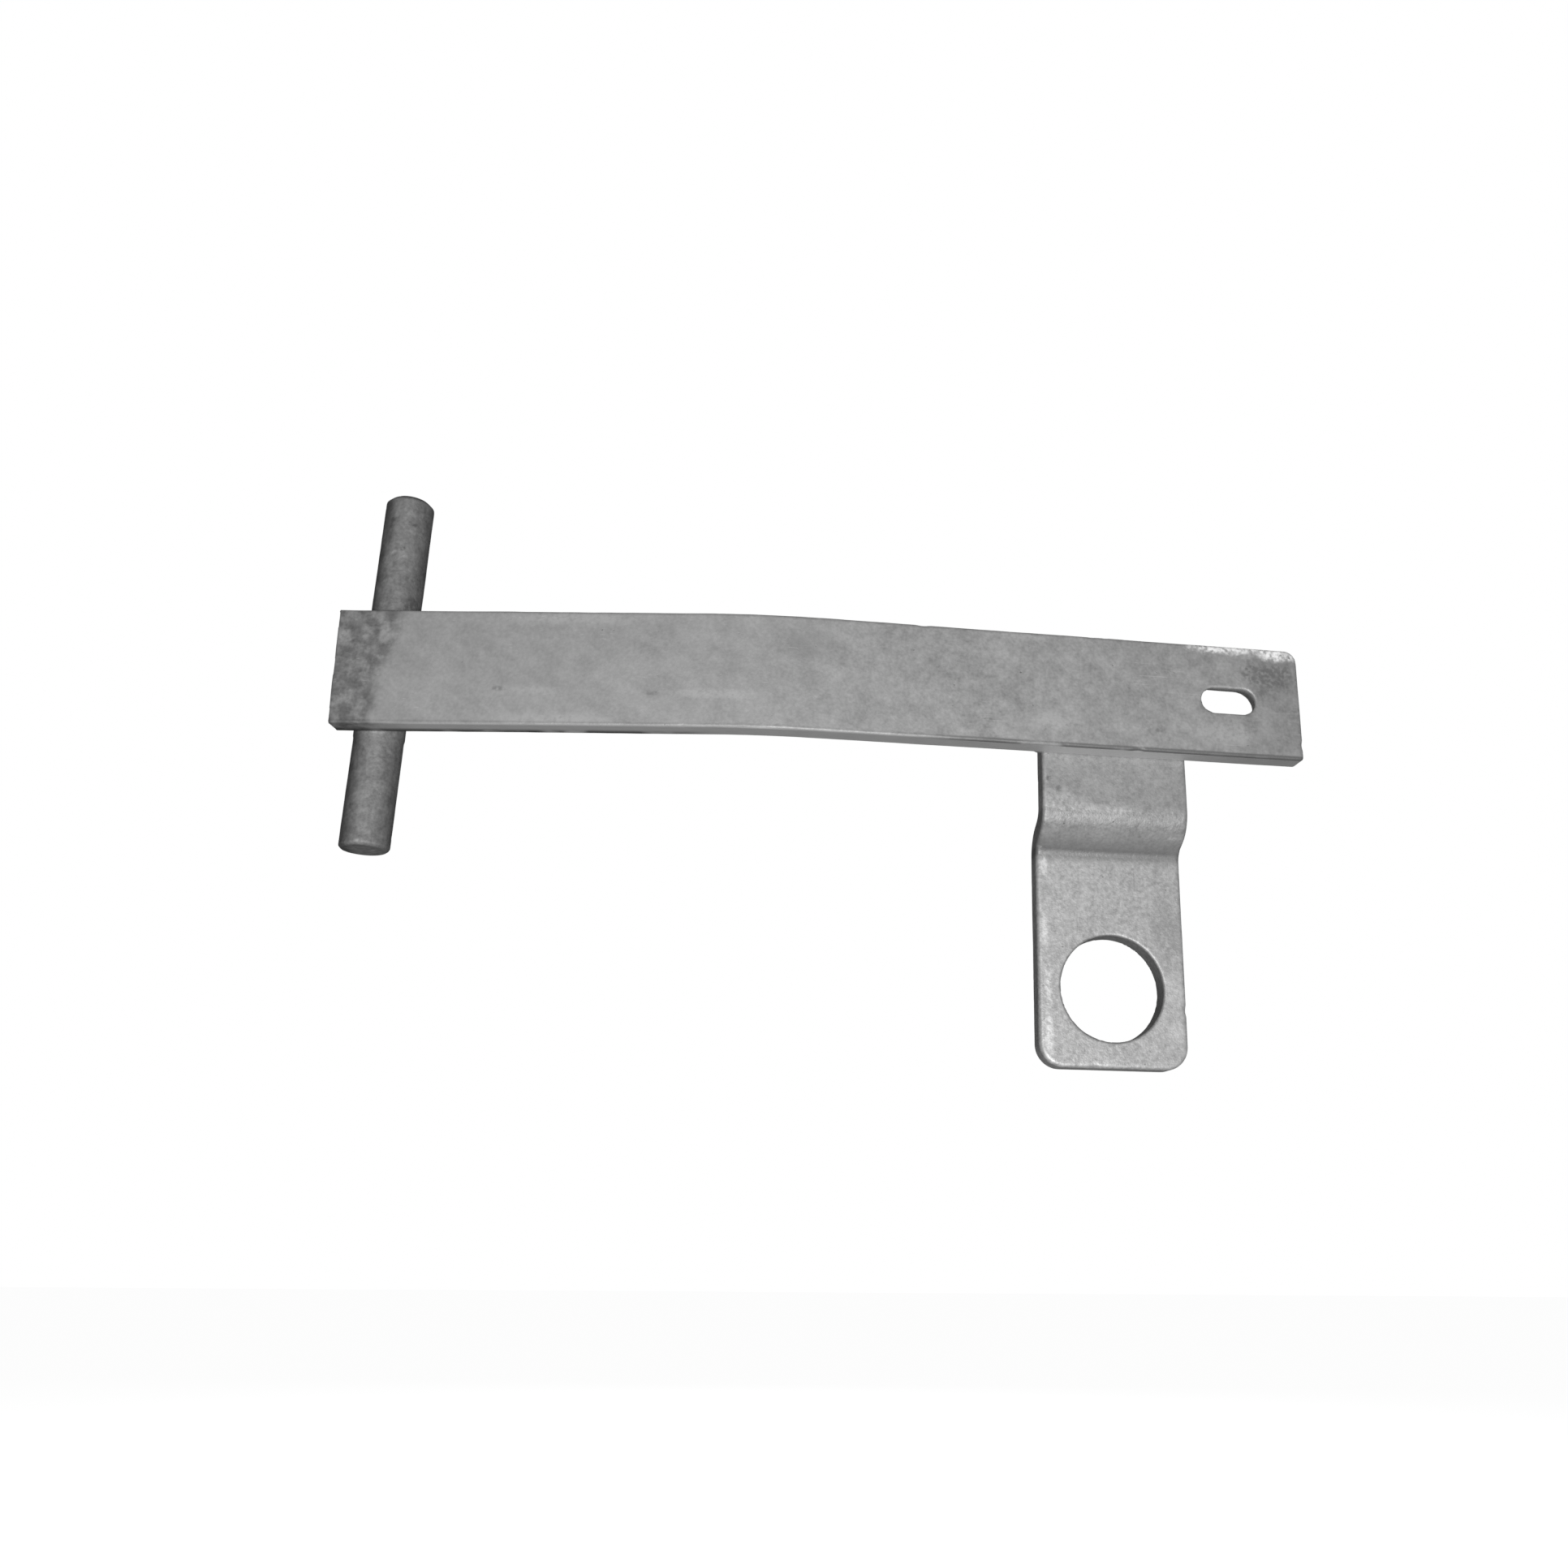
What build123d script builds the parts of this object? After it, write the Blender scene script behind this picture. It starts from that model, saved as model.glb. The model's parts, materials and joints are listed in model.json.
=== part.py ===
from build123d import *
import os
from math import atan, cos, degrees, radians, sin

# T hinge for a gate or hatch: a flat strap with a round pin welded across the back of one
# end and a cranked tab welded behind the other end.
# Frame, in mm: +Z up along the pin, origin on the pin's axis, level with the strap's lower
# edge, where the rim of the lower socket bears. +X runs along the strap's far leg, and the
# strap shows its face towards -Y.

# Strap: flat bar with one slight bend, so that the near leg (pin) and the far leg (tab and
# slot) both fall back from the knee
STRAP_WIDTH = 40.0
STRAP_THICK = 8.0
NEAR_LEG = 141.0  # pin end to knee, on the face
FAR_LEG = 183.0  # knee to free end, on the face
KNEE_ANGLE = 8.6  # degrees
KNEE_RADIUS = 240.0  # on the face
PIN_END_SKEW = 2.0  # degrees that the sheared pin end is out of square
HIGH_CORNER = 4.5  # corner radii of the free end
LOW_CORNER = 1.2
STRAP_EDGE = 0.6  # rounding of the bar's long edges

# Slot punched through the far leg: straight just behind the face, then wider to the back
SLOT_LENGTH = 19.0
SLOT_WIDTH = 9.0
SLOT_TO_END = 25.5  # slot's centre to the free end
SLOT_LAND = 2.0  # depth of the straight part
SLOT_FLARE = 2.0  # how much wider the slot is at the back, on every side

# Pin: round bar with a free journal above and below the slightly thicker, welded seat
PIN_RADIUS = 8.0
SEAT_RADIUS = 8.2
PIN_TOP = 88.0
PIN_BOTTOM = -38.0
PIN_TO_END = 11.5  # pin's axis to the strap's pin end
HIGH_LEAD = 1.6  # chamfers on the pin's ends
LOW_LEAD = 0.9

# Tab: flat bar, cranked back just below the strap
TAB_WIDTH = 50.0
TAB_THICK = 8.0
TAB_START = 94.0  # knee to the tab's near side
TAB_LAP = 30.0  # height of the tab that lies on the strap's back
TAB_BOTTOM = -102.5
CRANK_STEP = 11.0  # how far the lower part stands back
CRANK_HIGH = -24.2  # corners of the crank on the tab's face
CRANK_LOW = -30.4
CRANK_INSIDE = 4.0  # bend radius on the inside of each corner
TAB_CORNER = 8.0
TAB_EDGE = 1.1  # rounding of the bar's long edges
HOLE_RADIUS = 17.5
HOLE_HEIGHT = -76.5

# Weld beads
BEAD_CROWN = 0.4  # how far a bead's face bulges between its toes
PIN_BEAD_STOP = 2.0  # the pin's beads end this far short of the strap's edges
PIN_BEAD_ROOT = 3.6  # root and toe, from the line where pin and strap touch
PIN_BEAD_TOE = 9.3
PIN_BEAD_RISE = 20.0  # degrees from the pin's flank to the bead's toe on the pin
TAB_BEAD_LEG = 5.5
NEAR_BEAD_FOOT = 0.4  # the near bead runs down almost to the strap's lower edge
FAR_BEAD_FOOT = 1.0  # the far bead is short, because the slot is close beside the tab
FAR_BEAD_HEAD = 12.0

near_dir = Vector(1, 0, 0).rotate(Axis.Z, -KNEE_ANGLE)
near_out = Vector(0, -1, 0).rotate(Axis.Z, -KNEE_ANGLE)
up = Vector(0, 0, 1)
pin_end = near_out * (SEAT_RADIUS + STRAP_THICK) - near_dir * PIN_TO_END
knee = pin_end + near_dir * NEAR_LEG
free_end = knee + Vector(FAR_LEG, 0, 0)
back_y = knee.Y + STRAP_THICK
tab_x = knee.X + TAB_START

os.makedirs("parts", exist_ok=True)

# --- strap ---------------------------------------------------------------------------
with BuildPart() as strap:
    with BuildSketch(Plane.XY):
        with BuildLine():
            overlong_end = pin_end - near_dir * STRAP_THICK
            FilletPolyline(overlong_end, knee, free_end, radius=KNEE_RADIUS)
            offset(amount=STRAP_THICK, side=Side.LEFT)
        make_face()
    extrude(amount=STRAP_WIDTH)
    # the pin end, sheared slightly out of square
    skew = radians(PIN_END_SKEW)
    sheared_face = Plane(
        origin=pin_end + up * (STRAP_WIDTH / 2), z_dir=near_dir * cos(skew) + up * sin(skew)
    )
    split(bisect_by=sheared_face, keep=Keep.TOP)
    # the free end's two corners
    for place, radius in ((0, LOW_CORNER), (-1, HIGH_CORNER)):
        corners = strap.faces().sort_by(Axis.X)[-1].edges().filter_by(Axis.Y)
        fillet(corners.sort_by(Axis.Z)[place], radius=radius)
    # the rolled edges; each runs on round the knee and the corners
    wide_faces = strap.faces().filter_by(Axis.Y).sort_by(SortBy.AREA)[-2:]
    fillet(wide_faces.edges().filter_by(Axis.X), radius=STRAP_EDGE)
    with BuildSketch(Plane.XZ.offset(-back_y)):
        with Locations((free_end.X - SLOT_TO_END, STRAP_WIDTH / 2)):
            SlotOverall(SLOT_LENGTH, SLOT_WIDTH)
    extrude(amount=STRAP_THICK, mode=Mode.SUBTRACT)
    with BuildSketch(Plane.XZ.offset(-back_y)):
        with Locations((free_end.X - SLOT_TO_END, STRAP_WIDTH / 2)):
            SlotOverall(SLOT_LENGTH + 2 * SLOT_FLARE, SLOT_WIDTH + 2 * SLOT_FLARE)
    flare_depth = STRAP_THICK - SLOT_LAND
    flare_angle = degrees(atan(SLOT_FLARE / flare_depth))
    extrude(amount=flare_depth, taper=flare_angle, mode=Mode.SUBTRACT)
strap.part.label = "strap"
export_step(strap.part, "parts/strap.step")

# --- hinge pin -----------------------------------------------------------------------
with BuildPart() as hinge_pin:
    with BuildSketch(Plane.XY.offset(PIN_BOTTOM)):
        Circle(PIN_RADIUS)
    extrude(amount=PIN_TOP - PIN_BOTTOM)
    chamfer(hinge_pin.edges().sort_by(Axis.Z)[-1], length=HIGH_LEAD)
    chamfer(hinge_pin.edges().sort_by(Axis.Z)[0], length=LOW_LEAD)
    with BuildSketch(Plane.XY):
        Circle(SEAT_RADIUS)
    extrude(amount=STRAP_WIDTH)
hinge_pin.part.label = "hinge_pin"
export_step(hinge_pin.part, "parts/hinge_pin.step")

# --- cranked tab ---------------------------------------------------------------------
# Its side view: x is the depth behind the strap's back, y is the height.
tab_side = Plane(origin=(tab_x, back_y, 0), x_dir=(0, 1, 0), z_dir=(1, 0, 0))
with BuildPart() as cranked_tab:
    with BuildSketch(tab_side):
        with BuildLine():
            FilletPolyline(
                (0, TAB_LAP),
                (0, CRANK_HIGH),
                (CRANK_STEP, CRANK_LOW),
                (CRANK_STEP, TAB_BOTTOM),
                radius=(CRANK_INSIDE + TAB_THICK, CRANK_INSIDE),
            )
            offset(amount=TAB_THICK, side=Side.LEFT)
        make_face()
    extrude(amount=TAB_WIDTH)
    bottom = cranked_tab.faces().sort_by(Axis.Z)[0]
    fillet(bottom.edges().filter_by(Axis.Y), radius=TAB_CORNER)
    # the rolled edges; each runs from the lap round the crank and the bottom corners
    bottom = cranked_tab.faces().sort_by(Axis.Z)[0]
    fillet(bottom.edges().filter_by(Axis.X), radius=TAB_EDGE)
    with BuildSketch(Plane.XZ.offset(-back_y - CRANK_STEP - TAB_THICK)):
        with Locations((tab_x + TAB_WIDTH / 2, HOLE_HEIGHT)):
            Circle(HOLE_RADIUS)
    extrude(amount=TAB_THICK, mode=Mode.SUBTRACT)
cranked_tab.part.label = "cranked_tab"
export_step(cranked_tab.part, "parts/cranked_tab.step")


# --- weld beads ----------------------------------------------------------------------
def crown(first_toe, second_toe, corner):
    """Middle of a bead's face: the chord's middle, moved a little away from the corner."""
    middle = (first_toe + second_toe) / 2
    across = (second_toe - first_toe).cross(up).normalized()
    away = across if across.dot(middle - corner) > 0 else across * -1
    return middle + away * BEAD_CROWN


# Two beads fill the corners between the pin and the strap's back.
seat_plan = Plane(origin=(0, 0, PIN_BEAD_STOP), x_dir=near_dir, z_dir=up)
rise = radians(PIN_BEAD_RISE)
for node, side in (("pin_weld_outer", -1), ("pin_weld_inner", 1)):
    touch = Vector(0, -SEAT_RADIUS)
    root = touch + Vector(side * PIN_BEAD_ROOT, 0)
    strap_toe = touch + Vector(side * PIN_BEAD_TOE, 0)
    pin_toe = Vector(side * cos(rise), -sin(rise)) * SEAT_RADIUS
    with BuildPart() as pin_weld:
        with BuildSketch(seat_plan):
            with BuildLine():
                Polyline(pin_toe, (root.X, pin_toe.Y), root, strap_toe)
                ThreePointArc(strap_toe, crown(strap_toe, pin_toe, touch), pin_toe)
            make_face()
            Circle(SEAT_RADIUS, mode=Mode.SUBTRACT)
        extrude(amount=STRAP_WIDTH - 2 * PIN_BEAD_STOP)
    pin_weld.part.label = node
    export_step(pin_weld.part, f"parts/{node}.step")

# Three beads hold the tab's top and sides to the strap's back. Each has its section in a
# plane across the run, with x away from the tab's edge and y away from the strap's back.
far_x = tab_x + TAB_WIDTH
run_down = Plane(origin=(tab_x, back_y, TAB_LAP), x_dir=(-1, 0, 0), z_dir=(0, 0, -1))
run_up = Plane(origin=(far_x, back_y, FAR_BEAD_FOOT), x_dir=(1, 0, 0), z_dir=(0, 0, 1))
run_back = Plane(origin=(far_x, back_y, TAB_LAP), x_dir=(0, 0, 1), z_dir=(-1, 0, 0))
for node, section, length in (
    ("tab_weld_near", run_down, TAB_LAP - NEAR_BEAD_FOOT),
    ("tab_weld_far", run_up, FAR_BEAD_HEAD - FAR_BEAD_FOOT),
    ("tab_weld_top", run_back, TAB_WIDTH + TAB_BEAD_LEG),
):
    corner = Vector(0, 0)
    strap_toe = Vector(TAB_BEAD_LEG, 0)
    tab_toe = Vector(0, TAB_BEAD_LEG)
    with BuildPart() as tab_weld:
        with BuildSketch(section):
            with BuildLine():
                Polyline(tab_toe, corner, strap_toe)
                ThreePointArc(strap_toe, crown(strap_toe, tab_toe, corner), tab_toe)
            make_face()
        extrude(amount=length)
    tab_weld.part.label = node
    export_step(tab_weld.part, f"parts/{node}.step")
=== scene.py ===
import bmesh
import bpy
import json
import math
import numpy as np
from mathutils import Matrix, Vector, noise


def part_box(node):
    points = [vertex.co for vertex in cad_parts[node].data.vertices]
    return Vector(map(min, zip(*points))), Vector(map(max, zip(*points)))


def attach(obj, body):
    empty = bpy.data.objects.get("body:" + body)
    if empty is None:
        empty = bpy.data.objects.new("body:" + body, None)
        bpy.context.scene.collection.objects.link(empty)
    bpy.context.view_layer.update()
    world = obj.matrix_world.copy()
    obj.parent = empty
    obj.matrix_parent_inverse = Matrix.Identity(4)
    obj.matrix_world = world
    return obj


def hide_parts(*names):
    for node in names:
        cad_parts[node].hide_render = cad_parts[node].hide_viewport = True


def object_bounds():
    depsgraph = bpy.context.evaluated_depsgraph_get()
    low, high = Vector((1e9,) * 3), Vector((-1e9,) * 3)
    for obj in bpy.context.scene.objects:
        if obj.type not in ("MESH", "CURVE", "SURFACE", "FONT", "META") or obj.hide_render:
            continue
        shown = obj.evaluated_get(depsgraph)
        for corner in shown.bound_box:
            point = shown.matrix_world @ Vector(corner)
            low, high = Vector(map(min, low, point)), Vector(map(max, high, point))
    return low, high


# A galvanised T hinge: a bent flat strap, a round pin behind its near end and a cranked tab
# behind its far end, joined by weld beads. Metres, in the frame of the CAD model: +Z up the
# pin, +X along the strap's far leg, and the strap's face towards -Y.

MM = 0.001
VOXEL = 0.6 * MM

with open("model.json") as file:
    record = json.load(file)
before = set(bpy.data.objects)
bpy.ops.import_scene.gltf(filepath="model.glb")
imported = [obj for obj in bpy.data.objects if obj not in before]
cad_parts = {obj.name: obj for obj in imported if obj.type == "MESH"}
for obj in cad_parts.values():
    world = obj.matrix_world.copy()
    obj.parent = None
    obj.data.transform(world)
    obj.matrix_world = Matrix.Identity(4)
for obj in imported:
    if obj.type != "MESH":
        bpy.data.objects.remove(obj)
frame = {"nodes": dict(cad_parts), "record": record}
CAD_LOW, CAD_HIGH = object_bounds()
MOUNTS = {mount["name"]: mount for mount in frame["record"]["mounts"]}

# Dimensions that the pieces' boxes don't give
KNEE_ANGLE = math.radians(8.6)
KNEE_RADIUS = 240 * MM
FAR_LEG = 183 * MM
STRAP_THICK = 8 * MM
TAB_THICK = 8 * MM
CRANK_HIGH = -24.2 * MM
CRANK_LOW = -30.4 * MM
CRANK_INSIDE = 4 * MM
BEAD_LEG = 5.5 * MM
PIN_BEAD_ROOT = 4.2 * MM  # the bead's inner corner, from the line where pin and strap touch
PIN_BEAD_ROOT_OFF = 0.4 * MM  # and how far it is off the strap's back
PIN_BEAD_TOE = 9.3 * MM
PIN_BEAD_RISE = math.radians(20)  # from the pin's flank to the bead's toe on the pin
BEAD_SINK = 0.6 * MM  # how deep the beads' hidden sides lie in the bars

# The ripples on a bead: their spacing, how far each one bows, and their height, with a slow swell
RIPPLE_PITCH = 1.7 * MM
RIPPLE_BOW = 1.6 * MM
RIPPLE_HEIGHT = 0.52 * MM
BEAD_SWELL = 0.35 * MM
BEAD_LIFT = 0.10 * MM

# Directions of the strap's near leg: along it from the pin end, and out of its back
NEAR_ALONG = np.array((math.cos(KNEE_ANGLE), -math.sin(KNEE_ANGLE), 0.0))
NEAR_BACK = np.array((math.sin(KNEE_ANGLE), math.cos(KNEE_ANGLE), 0.0))
UP = np.array((0.0, 0.0, 1.0))


# ---------------------------------------------------------------- flat bars, bent and unbent
class Bar:
    """A flat bar's middle plane, as straight and curved runs, seen along the bar's width."""

    def __init__(self, start, heading, runs):
        self.runs = []
        place, travelled = np.array(start, float), 0.0
        for length, turn in runs:
            along = np.array((math.cos(heading), math.sin(heading)))
            left = np.array((-along[1], along[0]))
            self.runs.append((travelled, length, turn, place, along, left))
            if turn:
                radius = length / turn
                centre = place + left * radius
                heading += turn
                place = centre + radius * np.array((math.sin(heading), -math.cos(heading)))
            else:
                place = place + along * length
            travelled += length

    def bend(self, flat):
        """Turns (distance along the bar, offset to its left) into points in the plane."""
        out = np.empty_like(flat)
        for begin, length, turn, place, along, left in self.runs:
            last = begin + length >= self.runs[-1][0] + self.runs[-1][1] - 1e-9
            inside = (flat[:, 0] >= begin) if begin else np.ones(len(flat), bool)
            inside &= True if last else flat[:, 0] < begin + length
            go, aside = flat[inside, 0] - begin, flat[inside, 1]
            if turn:
                radius = length / turn
                angle, reach = go / radius, radius - aside
                sideways = np.sin(angle) * reach
                inward = radius - np.cos(angle) * reach
                out[inside] = place + np.outer(sideways, along) + np.outer(inward, left)
            else:
                out[inside] = place + np.outer(go, along) + np.outer(aside, left)
        return out

    def unbend(self, points):
        """Undoes bend()."""
        out = np.empty_like(points)
        todo = np.ones(len(points), bool)
        for number, (begin, length, turn, place, along, left) in enumerate(self.runs):
            last = number == len(self.runs) - 1
            seen = points - place
            go, aside = seen @ along, seen @ left
            if turn:
                radius, side = length / turn, math.copysign(1, turn)
                angle = np.arctan2(go, (radius - aside) * side) * side
                aside = radius - side * np.hypot(go, radius - aside)
                go = angle * radius
            mine = todo & ((go < length + 1e-9) | last)
            out[mine] = np.stack((go[mine] + begin, aside[mine]), axis=1)
            todo &= ~mine
        return out


def strap_bar():
    """Seen from above, in the frame's X and Y, from the pin end to the free end."""
    low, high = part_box("strap")
    radius = KNEE_RADIUS - STRAP_THICK / 2
    knee_x, face_y = high.x - FAR_LEG, low.y
    cut = KNEE_RADIUS * math.tan(KNEE_ANGLE / 2)
    near, behind = NEAR_ALONG[:2], NEAR_BACK[:2]
    near_leg = (knee_x - low.x) / near[0]
    start = np.array((knee_x, face_y)) - near * near_leg + behind * STRAP_THICK / 2
    runs = [(near_leg - cut, 0), (radius * KNEE_ANGLE, KNEE_ANGLE), (FAR_LEG - cut, 0)]
    return Bar(start, -KNEE_ANGLE, runs)


def tab_bar():
    """Seen from the side, in the frame's Y and Z, from the tab's top down."""
    low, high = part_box("cranked_tab")
    step = high.y - low.y - TAB_THICK
    slope = math.atan2(CRANK_HIGH - CRANK_LOW, step)
    turn = math.pi / 2 - slope
    radius = CRANK_INSIDE + TAB_THICK / 2
    # corners of the front face, and how far each bend eats into the runs beside it
    high_cut = (CRANK_INSIDE + TAB_THICK) * math.tan(turn / 2)
    low_cut = CRANK_INSIDE * math.tan(turn / 2)
    slope_run = math.hypot(step, CRANK_HIGH - CRANK_LOW) - high_cut - low_cut
    runs = [
        (high.z - CRANK_HIGH - high_cut, 0),
        (radius * turn, turn),
        (slope_run, 0),
        (radius * turn, -turn),
        (CRANK_LOW - low_cut - low.z, 0),
    ]
    return Bar((low.y + TAB_THICK / 2, high.z), -math.pi / 2, runs)


# ---------------------------------------------------------------- meshes
def points_of(mesh):
    co = np.empty(len(mesh.vertices) * 3)
    mesh.vertices.foreach_get("co", co)
    return co.reshape(-1, 3)


def set_points(mesh, points):
    mesh.vertices.foreach_set("co", points.astype(np.float32).ravel())
    mesh.update()


def normals_of(mesh):
    normals = np.empty(len(mesh.vertices) * 3, np.float32)
    mesh.vertex_normals.foreach_get("vector", normals)
    return normals.reshape(-1, 3).astype(float)


def new_object(name, mesh):
    obj = bpy.data.objects.new(name, mesh)
    bpy.context.scene.collection.objects.link(obj)
    return obj


def applied(obj):
    """Applies the object's modifiers."""
    depsgraph = bpy.context.evaluated_depsgraph_get()
    mesh = bpy.data.meshes.new_from_object(obj.evaluated_get(depsgraph), depsgraph=depsgraph)
    obj.modifiers.clear()
    old, obj.data = obj.data, mesh
    bpy.data.meshes.remove(old)
    return obj


def welded_copy(node, name):
    obj = new_object(name, frame["nodes"][node].data.copy())
    obj.data.materials.clear()
    weld = obj.modifiers.new("weld", "WELD")
    weld.merge_threshold = 0.002 * MM
    return applied(obj)


def smoothed(obj, rounds):
    smooth = obj.modifiers.new("smooth", "SMOOTH")
    smooth.factor, smooth.iterations = 0.5, rounds
    return applied(obj)


def remeshed(obj, voxel):
    remesh = obj.modifiers.new("remesh", "REMESH")
    remesh.mode = "VOXEL"
    remesh.voxel_size = voxel
    remesh.use_smooth_shade = True
    return smoothed(applied(obj), 1)


def waves_at(points, length, seed):
    """Smooth noise from about -1 to 1, whose bumps are about one length across."""
    shift = Vector((7.3, 3.1, 5.7)) * seed
    return np.array([noise.noise(Vector(p) / length + shift) for p in points])


def worked(points, normals):
    """Rolled and galvanised faces: shallow waves, never outside the CAD surface."""
    depth = 0.04 * MM + 0.05 * MM * waves_at(points, 22 * MM, 1)
    depth += 0.03 * MM * waves_at(points, 5 * MM, 2)
    return points - normals * np.maximum(depth, 0)[:, None]


def rubbed(points, normals, across):
    """Wears the rims between a bar's wide faces and its edges, unevenly, with small nicks."""
    tilt = np.abs(normals[:, across])
    rim = np.clip(1 - ((tilt - 0.6) / 0.38) ** 2, 0, 1)
    wear = 0.10 * MM * np.clip(0.5 + waves_at(points, 9 * MM, 3), 0, 1)
    wear += 0.22 * MM * np.clip(2.4 * waves_at(points, 3.2 * MM, 4) - 0.75, 0, 1)
    return points - normals * (rim * wear)[:, None]


def dented(points, dents):
    """Presses dents, given as (centre, inward direction, radius, depth)."""
    for centre, inward, radius, depth in dents:
        away = np.linalg.norm(points - np.array(centre), axis=1) / radius
        press = np.where(away < 1, (1 - np.minimum(away, 1) ** 2) ** 2, 0)
        points = points + np.outer(press * depth, inward)
    return points


def pressed_onto(obj, mould):
    """Moves every point to the nearest place on the mould, and removes the mould."""
    wrap = obj.modifiers.new("wrap", "SHRINKWRAP")
    wrap.target = mould
    wrap.wrap_method = "NEAREST_SURFACEPOINT"
    applied(obj)
    old = mould.data
    bpy.data.objects.remove(mould)
    bpy.data.meshes.remove(old)


def bar_piece(node, name, bar, plane, across, dents):
    """Remeshes a CAD bar while it is straight, wears it, and bends it back."""
    obj = welded_copy(node, name)
    points = points_of(obj.data)
    points[:, plane] = bar.unbend(points[:, plane])
    set_points(obj.data, points)
    mould = new_object(name + "_mould", obj.data.copy())
    pressed_onto(remeshed(obj, VOXEL), mould)
    points, normals = points_of(obj.data), normals_of(obj.data)
    points = rubbed(worked(points, normals), normals, across)
    points[:, plane] = bar.bend(points[:, plane])
    set_points(obj.data, dented(points, dents))
    return obj


def make_strap():
    low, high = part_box("strap")
    face = low.y
    dents = (
        ((high.x, face, 5.5 * MM), (-0.7, 0.7, 0), 2.2 * MM, 0.35 * MM),
        ((high.x - 58 * MM, face, 0), (0, 0.5, 0.8), 2.6 * MM, 0.35 * MM),
        ((high.x - 131 * MM, face, high.z), (0, 0.5, -0.8), 3.0 * MM, 0.3 * MM),
        ((low.x, 0.5 * (low.y + high.y), high.z), (0.7, 0, -0.7), 1.8 * MM, 0.3 * MM),
    )
    return bar_piece("strap", "strap_bar", strap_bar(), slice(0, 2), 1, dents)


def make_tab():
    low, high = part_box("cranked_tab")
    face = high.y - TAB_THICK
    dents = (
        ((high.x, face, -83 * MM), (-0.9, 0.3, 0), 2.2 * MM, 0.5 * MM),
        ((low.x, face, -52 * MM), (0.8, 0.5, 0), 2.0 * MM, 0.35 * MM),
        ((low.x + 18 * MM, face, low.z), (0, 0.5, 0.8), 2.4 * MM, 0.3 * MM),
    )
    return bar_piece("cranked_tab", "tab_bar", tab_bar(), slice(1, 3), 2, dents)


def closed_tube(name, rings, ends):
    """A mesh from rings of points, each end closed to its middle point."""
    count = len(rings[0])
    points = [tuple(p) for ring in rings for p in ring] + [tuple(p) for p in ends]
    faces = []
    for low in range(0, (len(rings) - 1) * count, count):
        for i in range(count):
            j = (i + 1) % count
            faces.append((low + i, low + j, low + count + j, low + count + i))
    first, last = len(points) - 2, len(points) - 1
    top = (len(rings) - 1) * count
    for i in range(count):
        j = (i + 1) % count
        faces.append((j, i, first))
        faces.append((top + i, top + j, last))
    mesh = bpy.data.meshes.new(name)
    mesh.from_pydata(points, [], faces)
    mesh.validate()
    mesh.shade_smooth()
    return new_object(name, mesh)


def pin_profile():
    """The pin's outline, as (radius, height) from its lower end to its upper end."""
    low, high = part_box("hinge_pin")
    upper, lower = MOUNTS["upper_pin"], MOUNTS["lower_pin"]
    journal, seat = lower["dims"]["r_mm"] * MM, high.x
    seat_low, seat_high = lower["pos_m"][2], upper["pos_m"][2]
    wall_top = seat_high + upper["dims"]["length_mm"] * MM
    wall_bottom = seat_low - lower["dims"]["length_mm"] * MM
    soft = 0.3 * MM
    corners = (
        (0.0, low.z),
        (journal - (wall_bottom - low.z), low.z),
        (journal, wall_bottom),
        (journal, seat_low - soft),
        (seat, seat_low + soft),
        (seat, seat_high - soft),
        (journal, seat_high + soft),
        (journal, wall_top),
        (journal - (high.z - wall_top), high.z),
        (0.0, high.z),
    )
    step = 0.5 * MM
    profile = []
    for (r0, z0), (r1, z1) in zip(corners, corners[1:]):
        count = max(2, round(math.hypot(r1 - r0, z1 - z0) / step))
        for i in range(count):
            profile.append((r0 + (r1 - r0) * i / count, z0 + (z1 - z0) * i / count))
    return profile, low.z, high.z


def make_pin():
    """The round bar: free ends of the mounts' radius, and a slightly thicker welded seat."""
    profile, bottom, top = pin_profile()
    around = 112
    angles = [2 * math.pi * i / around for i in range(around)]
    rings = [[(r * math.cos(a), r * math.sin(a), z) for a in angles] for r, z in profile[1:]]
    pin = smoothed(closed_tube("pin_bar", rings, ((0, 0, bottom), (0, 0, top))), 3)
    points, normals = points_of(pin.data), normals_of(pin.data)
    depth = 0.05 * MM + 0.05 * MM * waves_at(points, 14 * MM, 5)
    depth += 0.04 * MM * waves_at(points, 4 * MM, 6)
    depth += 0.25 * MM * np.clip(3 * waves_at(points, 1.9 * MM, 7) - 1.35, 0, 1)
    set_points(pin.data, points - normals * np.maximum(depth, 0)[:, None])
    return pin


# ---------------------------------------------------------------- weld beads
def bead_height(run, across, seed):
    """How far the bead's face stands out at a place along it, from its curved ripples."""
    phase = (run - RIPPLE_BOW * 4 * across * (1 - across)) / RIPPLE_PITCH
    ripple = (phase % 1.0) ** 0.7
    swell = noise.noise(Vector((run / (6 * MM), across, seed)))
    return BEAD_LIFT + RIPPLE_HEIGHT * ripple + BEAD_SWELL * swell


def bead_ring(place, first, second, corner, size, run, seed):
    """One section: its face from toe to toe, then back through the metal of the bars."""
    count = 14
    out = (first + second) / 2 - corner
    out = out / np.linalg.norm(out)
    wander = 0.08 * noise.noise(Vector((run / (5 * MM), 3.3, seed)))
    ring = []
    for i in range(count + 1):
        across = i / count
        point = first + (second - first) * across
        lift = bead_height(run, across, seed) * math.sin(math.pi * across) ** 0.6
        point = corner + (point - corner) * (1 + wander) + out * lift
        ring.append(place + corner + (point - corner) * size)
    for point in (second, corner, first):
        inner = corner + (point - corner) * (1 + wander) * size - out * BEAD_SINK
        ring.append(place + inner)
    return ring


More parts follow.
